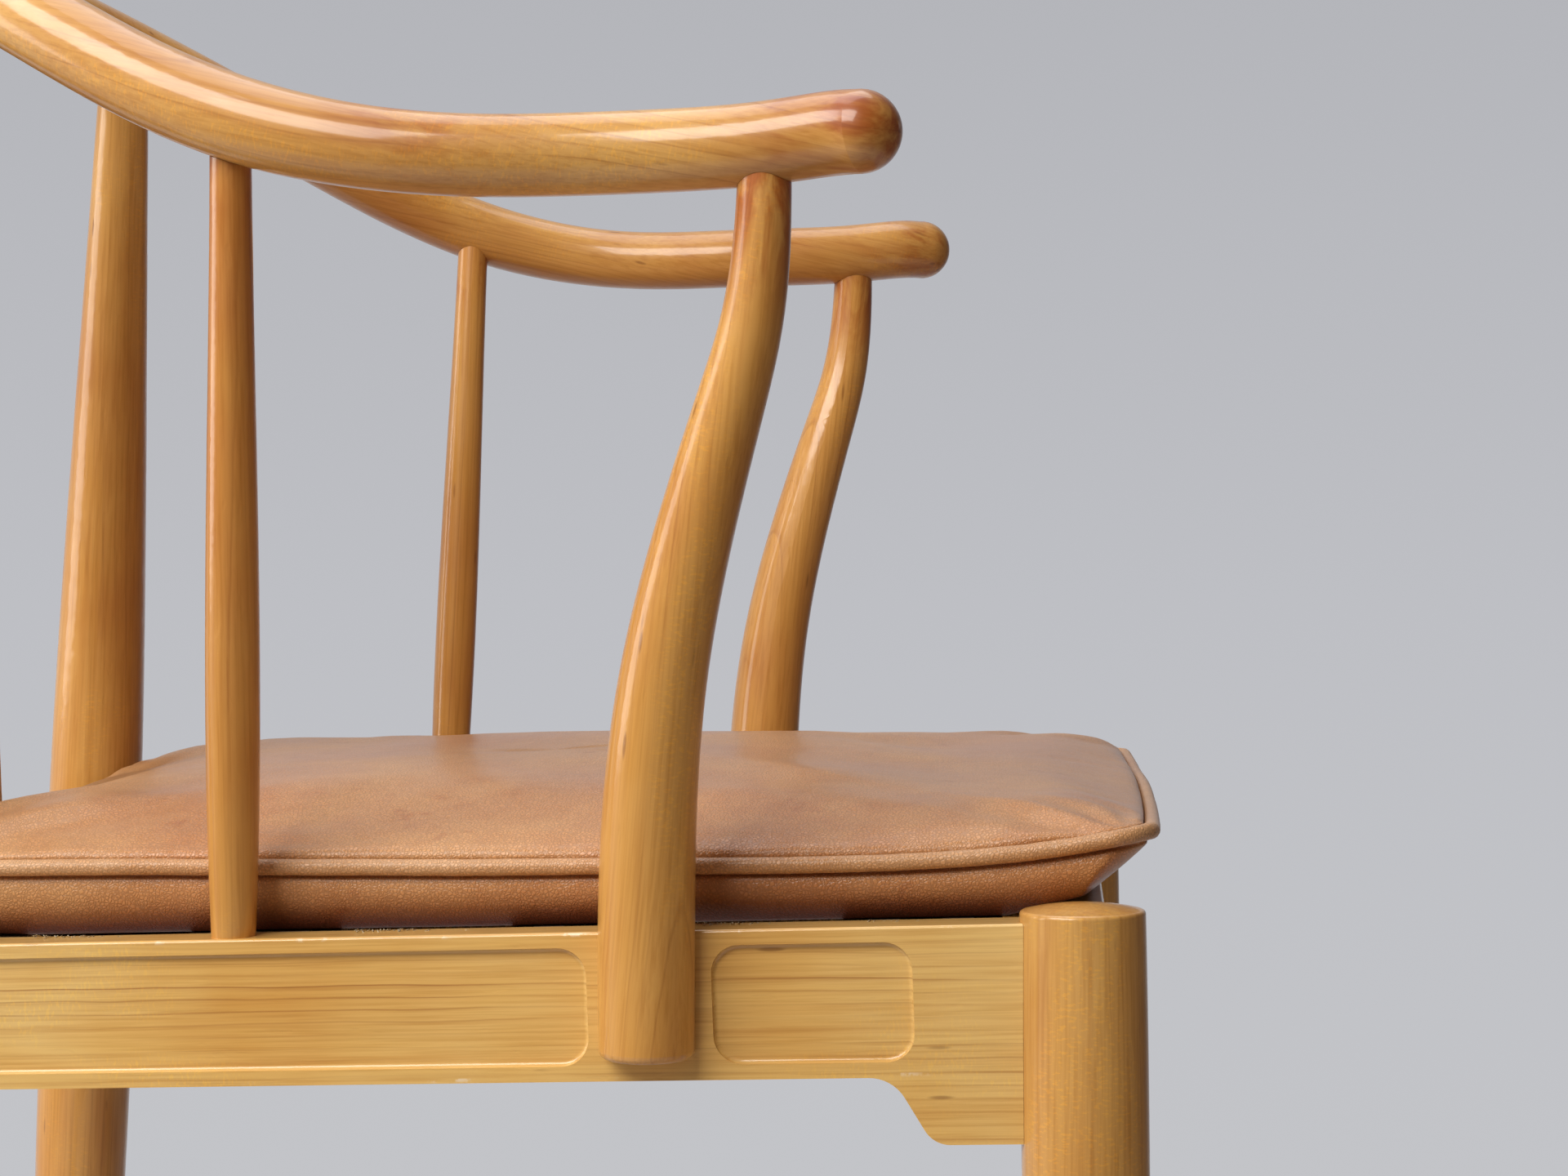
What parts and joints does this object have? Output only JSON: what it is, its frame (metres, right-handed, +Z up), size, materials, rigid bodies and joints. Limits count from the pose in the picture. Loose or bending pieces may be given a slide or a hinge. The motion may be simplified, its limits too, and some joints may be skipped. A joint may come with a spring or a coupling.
{
  "type": "horseshoe back armchair",
  "caption": "Wooden armchair with one bent rail as back and arms, a splat, turned legs, webbed seat and a loose piped leather cushion.",
  "frame": {"origin": "on the floor, in the middle of the chair's plan", "axes": "+Z up, the chair faces -Y, the sitter's right hand is on -X"},
  "size_m": [0.542, 0.5466, 0.819],
  "materials": {
    "wood": "satin lacquered cherry",
    "leather": "fine-grained natural tan leather",
    "webbing": "woven jute webbing",
    "foam": "upholstery foam",
    "screw_steel": "zinc-plated steel",
    "glide": "matte brown plastic"
  },
  "bodies": {
    "frame": {"front_leg_left": "wood", "front_leg_right": "wood", "rear_post_left": "wood", "rear_post_right": "wood", "side_rail_left": "wood", "side_rail_right": "wood", "front_rail": "wood", "rear_rail": "wood", "front_stretcher": "wood", "rear_stretcher": "wood", "side_stretcher_left": "wood", "side_stretcher_right": "wood", "crest_rail": "wood", "arm_left": "wood", "arm_right": "wood", "spindle_left": "wood", "spindle_right": "wood", "arm_post_left": "wood", "arm_post_right": "wood", "back_splat": "wood", "arm_post_screws": "screw_steel", "webbing_lengthwise": "webbing", "webbing_crosswise": "webbing", "webbing_staples": "screw_steel", "foot_glides": "glide"},
    "cushion": {"cushion_cover": "leather", "cushion_piping": "leather", "cushion_core": "foam"}
  },
  "joints": [
    {"name": "cushion_lift_out", "type": "slide", "parent": "frame", "child": "cushion", "axis": [0, -0.7071, 0.7071], "range_m": [0, 0.5]}
  ]
}
